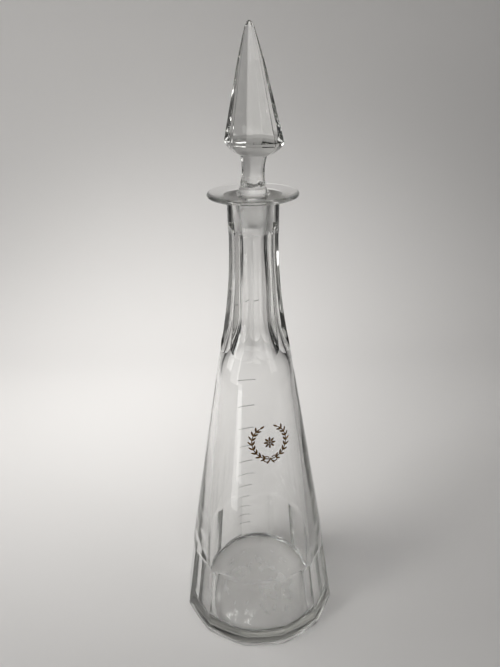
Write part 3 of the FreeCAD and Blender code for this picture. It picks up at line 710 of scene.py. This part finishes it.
def stopper_rows():
    """The stopper's surface from the plug's foot to the finial's tip, round below and eight-sided
    above. Also the height at which the tilted stem begins."""
    columns = panel_columns(STOPPER_COLUMNS, STOPPER_SIDES, STOPPER_ARRIS_SHARE)
    angle = math.radians(STOPPER_AZIMUTH) + columns
    flat = math.cos(math.pi / STOPPER_SIDES)
    octagon = flat * secant(angle, *STOPPER_RING)
    arris = arris_columns(STOPPER_COLUMNS, STOPPER_SIDES)
    rows = Rows(STOPPER_COLUMNS)

    def taper(height):
        return SEAT_RADIUS - SEAT_TAPER_SHARE * (MOUTH_HEIGHT - height) - JOINT_CLEARANCE

    low = MOUTH_HEIGHT - PLUG_LENGTH
    shoulder = MOUTH_HEIGHT - MOUTH_ROUND
    ledge = MOUTH_HEIGHT - COLLAR_DROP
    end = steps((PLUG_FIRST_RING, low), (taper(low) - PLUG_BEVEL, low), count=6)
    rows.ring(angle, end, crease_at=(-1,))
    side_low = (taper(low + PLUG_BEVEL), low + PLUG_BEVEL)
    side = steps(side_low, (taper(shoulder), shoulder), count=9)
    rows.ring(angle, side[:-1], crease_at=(0,), finish=GROUND)
    rows.ring(angle, side[-1:])
    rows.ring(angle, [(taper(ledge), ledge)], crease_at=(0,))
    rows.ring(angle, [(COLLAR_RADIUS, MOUTH_HEIGHT)], crease_at=(0,))
    collar_low = (COLLAR_RADIUS - COLLAR_EDGE, MOUTH_HEIGHT + COLLAR_EDGE)
    collar_high = (STEM_FOOT_RADIUS * flat, MOUTH_HEIGHT + COLLAR_HEIGHT)
    foot = MOUTH_HEIGHT + COLLAR_HEIGHT - STEM_ROOT
    collar = steps(collar_low, collar_high, count=12)
    collar = collar[collar[:, 1] < foot]
    rows.ring(angle, collar, crease_at=(0,))
    share = (foot - collar_low[1]) / (collar_high[1] - collar_low[1])
    cone = collar_low[0] + share * (collar_high[0] - collar_low[0])
    rows.add(angle, np.maximum(cone, STEM_FOOT_RADIUS * octagon)[None], foot, True, arris)

    stem = arc_points((STEM_FOOT_RADIUS, foot), (STEM_WAIST_RADIUS, MOUTH_HEIGHT + STEM_WAIST_RISE),
                      (STEM_TOP_RADIUS, MOUTH_HEIGHT + STEM_TOP_RISE), count=22)
    rows.add(angle, stem[1:-1, :1] * octagon, stem[1:-1, 1:], False, arris)
    rim_low = (RIM_LOW_RADIUS, MOUTH_HEIGHT + RIM_RISE - RIM_THICKNESS)
    hollow_height = (STEM_TOP_RISE + RIM_RISE - RIM_THICKNESS) / 2 - RIM_HOLLOW
    middle = ((STEM_TOP_RADIUS + RIM_LOW_RADIUS) / 2, MOUTH_HEIGHT + hollow_height)
    under = arc_points(stem[-1], middle, rim_low, count=14)
    crease = np.zeros((len(under), 1), bool)
    crease[[0, -1]] = True
    rows.add(angle, under[:, :1] * octagon, under[:, 1:], crease, arris)
    rim_height = MOUTH_HEIGHT + RIM_RISE
    for radius, drop in zip(FINIAL_RADII, FINIAL_DROPS):
        height = rim_height + FINIAL_HEIGHT - drop
        rows.add(angle, (radius * octagon)[None], height, True, arris)
    return rows, foot


def stopper_points(rows, foot):
    """Leans the finial's point to the left and tilts stem and finial a little to the right."""
    points = rows.points()
    tip = MOUTH_HEIGHT + RIM_RISE + FINIAL_HEIGHT
    poles = np.array([[0.0, 0.0, MOUTH_HEIGHT - PLUG_LENGTH], [0.0, 0.0, tip]])
    pivot = MOUTH_HEIGHT + COLLAR_HEIGHT
    turn = math.radians(STEM_TILT)

    def leaned(p):
        rise = np.clip((p[..., 2] - MOUTH_HEIGHT - RIM_RISE) / FINIAL_HEIGHT, 0, 1)
        x = p[..., 0] - FINIAL_LEAN * rise
        z = p[..., 2] - pivot
        tilted = np.stack([x * math.cos(turn) + z * math.sin(turn), p[..., 1],
                           z * math.cos(turn) - x * math.sin(turn) + pivot], axis=-1)
        return np.where(p[..., 2:] >= foot, tilted, p)

    return leaned(points), leaned(poles)


def new_material(name):
    """A material, its node tree and its shader."""
    material = bpy.data.materials.new(name)
    material.use_nodes = True
    return material, material.node_tree, material.node_tree.nodes["Principled BSDF"]


def fill(tree, node, values):
    """Gives a node's inputs their values: a constant, or another node's output, which is linked."""
    for key, value in values.items():
        if isinstance(value, bpy.types.NodeSocket):
            tree.links.new(value, node.inputs[key])
        else:
            node.inputs[key].default_value = value


def object_place(tree):
    """Places in the piece's own space, in metres."""
    return tree.nodes.new("ShaderNodeTexCoord").outputs["Object"]


def noise(tree, place, scale, detail):
    """Noise in the piece's own space, as finely grained as its scale says."""
    node = tree.nodes.new("ShaderNodeTexNoise")
    fill(tree, node, {"Vector": place, "Scale": scale, "Detail": detail})
    return node.outputs["Fac"]


def remap(tree, source, levels, results=(0.0, 1.0), smooth=False):
    """Turns the range between two levels into that between two results."""
    node = tree.nodes.new("ShaderNodeMapRange")
    if smooth:
        node.interpolation_type = "SMOOTHSTEP"
    fill(tree, node, {"Value": source, "From Min": levels[0], "From Max": levels[1],
                      "To Min": results[0], "To Max": results[1]})
    return node.outputs["Result"]


def arithmetic(tree, operation, *terms):
    """What an operation makes of its terms, which are constants or other nodes' outputs."""
    node = tree.nodes.new("ShaderNodeMath")
    node.operation = operation
    fill(tree, node, dict(enumerate(terms)))
    return node.outputs["Value"]


def two_colours(tree, source, first, last, levels=(0.0, 1.0), blend="LINEAR"):
    """Fades from a first colour to a last one between two levels."""
    node = tree.nodes.new("ShaderNodeValToRGB")
    node.color_ramp.interpolation = blend
    for stop, level, colour in zip(node.color_ramp.elements, levels, (first, last)):
        stop.position = level
        stop.color = (*colour, 1.0)
    fill(tree, node, {"Fac": source})
    return node.outputs["Color"]


def bump(tree, height, values):
    """Bumps of a noise's height in the surface."""
    node = tree.nodes.new("ShaderNodeBump")
    fill(tree, node, {"Height": height, "Distance": BUMP_DEPTH * MM, **values})
    return node.outputs["Normal"]


def cut_glass():
    """Old clear glass that takes a little light away. Polished, it has a slight waviness; where the
    piece's dull attribute says so, it is ground or worn matt in patches, with a fine grit, and
    engraved lines are painted darker, a painted shade in the grooves."""
    material, tree, shader = new_material("cut_glass")
    inside_glass = tree.nodes.new("ShaderNodeVolumeAbsorption")
    fill(tree, inside_glass, {"Color": (*GLASS_COLOUR, 1.0), "Density": GLASS_DENSITY})
    fill(tree, tree.nodes["Material Output"], {"Volume": inside_glass.outputs["Volume"]})
    place = object_place(tree)
    attribute = tree.nodes.new("ShaderNodeAttribute")
    attribute.attribute_name = "dull"
    dull = attribute.outputs["Fac"]
    patches = remap(tree, noise(tree, place, *PATCH_NOISE), PATCH_LEVELS,
                    [MATT_ROUGHNESS * share for share in PATCH_SHARES])
    waves = bump(tree, noise(tree, place, *WAVE_NOISE), {"Strength": 1.0})
    grit = bump(tree, noise(tree, place, *GRIT_NOISE), {"Strength": dull, "Normal": waves})
    fill(tree, shader, {
        # painted shade: the glass colour of engraved lines is darkened so that the grooves read as
        # dark lines
        "Base Color": remap(tree, dull, (GROUND, ENGRAVED), (1.0, GROOVE_PAINTED_SHADE)),
        "Transmission Weight": 1.0,
        "IOR": GLASS_BENDING,
        "Roughness": arithmetic(tree, "MULTIPLY", dull, patches),
        "Normal": grit,
    })
    return material


def gilding():
    """Old fired gold: brown where it has worn thin, brighter where it is still thick."""
    material, tree, shader = new_material("gilding")
    wear = noise(tree, object_place(tree), *GILT_NOISE)
    fill(tree, shader, {
        "Base Color": two_colours(tree, wear, THIN_GOLD, THICK_GOLD, GILT_LEVELS),
        "Metallic": GILT_METAL,
        "Roughness": remap(tree, wear, (0.0, 1.0), GILT_ROUGHNESS),
    })
    return material


def paper():
    """Pale paper painted dark towards the sides and the front, a painted shade for a dim room."""
    material, tree, shader = new_material("backdrop_paper")
    split = tree.nodes.new("ShaderNodeSeparateXYZ")
    fill(tree, split, {"Vector": object_place(tree)})
    side = arithmetic(tree, "ABSOLUTE", split.outputs["X"])
    # painted shade: the paper turns dark towards the sides and the front, standing in for the dim
    # room that the glass shows
    shade_fades = [remap(tree, source, (pale * MM, dark * MM), smooth=True)
             for source, (pale, dark) in ((side, SIDE_SHADE_FADE), (split.outputs["Y"], FRONT_SHADE_FADE))]
    painted_shade = arithmetic(tree, "MAXIMUM", *shade_fades)
    fill(tree, shader, {
        "Base Color": two_colours(tree, painted_shade, PALE_PAPER, PAINTED_SHADE_PAPER),
        "Roughness": PAPER_ROUGHNESS,
        "Specular IOR Level": 0.0,
    })
    return material


def backdrop():
    """Pale floor that sweeps up into a wall behind: a flat, a quarter round and a straight rise."""
    turn = np.linspace(0, math.pi / 2, SWEEP_ROWS)
    outline = [(SWEEP_FRONT, 0.0)]
    outline += [(SWEEP_BACK + SWEEP_BEND * math.sin(t), SWEEP_BEND - SWEEP_BEND * math.cos(t))
                for t in turn]
    outline += [(SWEEP_BACK + SWEEP_BEND, SWEEP_TOP)]
    outline = np.array(outline) - (0.0, FLOOR_GAP)
    sides = np.array([-SWEEP_HALF_WIDTH, SWEEP_HALF_WIDTH])
    y, x = np.meshgrid(outline[:, 0], sides, indexing="ij")
    z = np.repeat(outline[:, 1:], 2, axis=1)
    vertices = np.stack([x, y, z], axis=-1).reshape(-1, 3) * MM
    row = np.arange(len(outline) - 1) * 2
    faces = np.stack([row, row + 1, row + 3, row + 2], axis=-1)
    mesh = bpy.data.meshes.new("backdrop")
    mesh.from_pydata(vertices.tolist(), [], faces.tolist())
    mesh.shade_smooth()
    mesh.materials.append(paper())
    sweep = bpy.data.objects.new("backdrop", mesh)
    bpy.context.scene.collection.objects.link(sweep)


def area_light(name, place, target, width, height, power, spread, lit):
    """A rectangular light that the camera doesn't see, aimed at a spot. It lights the surfaces, the
    glass by a highlight, or both."""
    light = bpy.data.lights.new(name, "AREA")
    light.shape = "RECTANGLE"
    light.size, light.size_y = width * MM, height * MM
    light.energy = power
    light.color = LIGHT_COLOUR
    light.spread = math.radians(spread)
    lamp = bpy.data.objects.new(name, light)
    lamp.location = Vector(place) * MM
    aim = Vector(target) - Vector(place)
    lamp.rotation_mode = "QUATERNION"
    lamp.rotation_quaternion = aim.to_track_quat("-Z", "Y")
    bpy.context.scene.collection.objects.link(lamp)
    lamp.visible_camera = False
    lamp.visible_glossy = lit != SURFACES
    lamp.visible_diffuse = lit != GLASS


def room():
    """Soft light of a room: even and rather dim, brighter on the left where the window is."""
    world = bpy.data.worlds.new("room")
    bpy.context.scene.world = world
    world.use_nodes = True
    tree = world.node_tree
    place = tree.nodes.new("ShaderNodeTexCoord").outputs["Generated"]
    window = tree.nodes.new("ShaderNodeVectorMath")
    window.operation = "DOT_PRODUCT"
    fill(tree, window, {0: place, 1: Vector(WINDOW_DIRECTION).normalized()})
    share = arithmetic(tree, "MULTIPLY_ADD", window.outputs["Value"], 0.5, 0.5)
    colour = two_colours(tree, share, DIM_LIGHT, BRIGHT_LIGHT, ROOM_LEVELS, "EASE")
    fill(tree, tree.nodes["Background"], {"Color": colour, "Strength": 1.0})


def camera():
    """The photograph's camera: its place, downward pitch and small roll."""
    data = bpy.data.cameras.new("camera")
    data.sensor_fit = "AUTO"
    data.sensor_width = SENSOR
    data.lens = SENSOR * FOCAL_PIXELS / IMAGE_HEIGHT
    data.clip_start, data.clip_end = CLIP_NEAR, CLIP_FAR
    eye = bpy.data.objects.new("camera", data)
    turn = Matrix.Rotation(math.radians(90 - CAMERA_PITCH), 4, "X")
    roll = Matrix.Rotation(math.radians(CAMERA_ROLL), 4, "Z")
    eye.matrix_world = Matrix.Translation(Vector(CAMERA_PLACE) * MM) @ turn @ roll
    bpy.context.scene.collection.objects.link(eye)
    bpy.context.scene.camera = eye


camera()
clear_glass = cut_glass()

rows = body_rows()
poles = [[0.0, 0.0, HOLLOW_DEPTH], [0.0, 0.0, FLOOR_HEIGHT + FLOOR_CROWN]]
body = closed_piece("decanter_glass", rows, rows.points(), poles, clear_glass)
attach(body, "decanter")
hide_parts("decanter_body")

rows, stem_foot = stopper_rows()
points, poles = stopper_points(rows, stem_foot)
stopper = closed_piece("stopper_glass", rows, points, poles, clear_glass)
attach(stopper, "stopper")
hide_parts("stopper")

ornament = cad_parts["gilt_ornament"]
ornament.data.materials.clear()
ornament.data.materials.append(gilding())

backdrop()
room()
for light in LIGHTS:
    area_light(*light)
scene = bpy.context.scene
scene.view_settings.view_transform = "Standard"
scene.cycles.max_bounces = LIGHT_BOUNCES
scene.cycles.transmission_bounces = LIGHT_BOUNCES
scene.cycles.glossy_bounces = LIGHT_BOUNCES
scene.cycles.diffuse_bounces = DIFFUSE_BOUNCES
scene.cycles.blur_glossy = 0.0
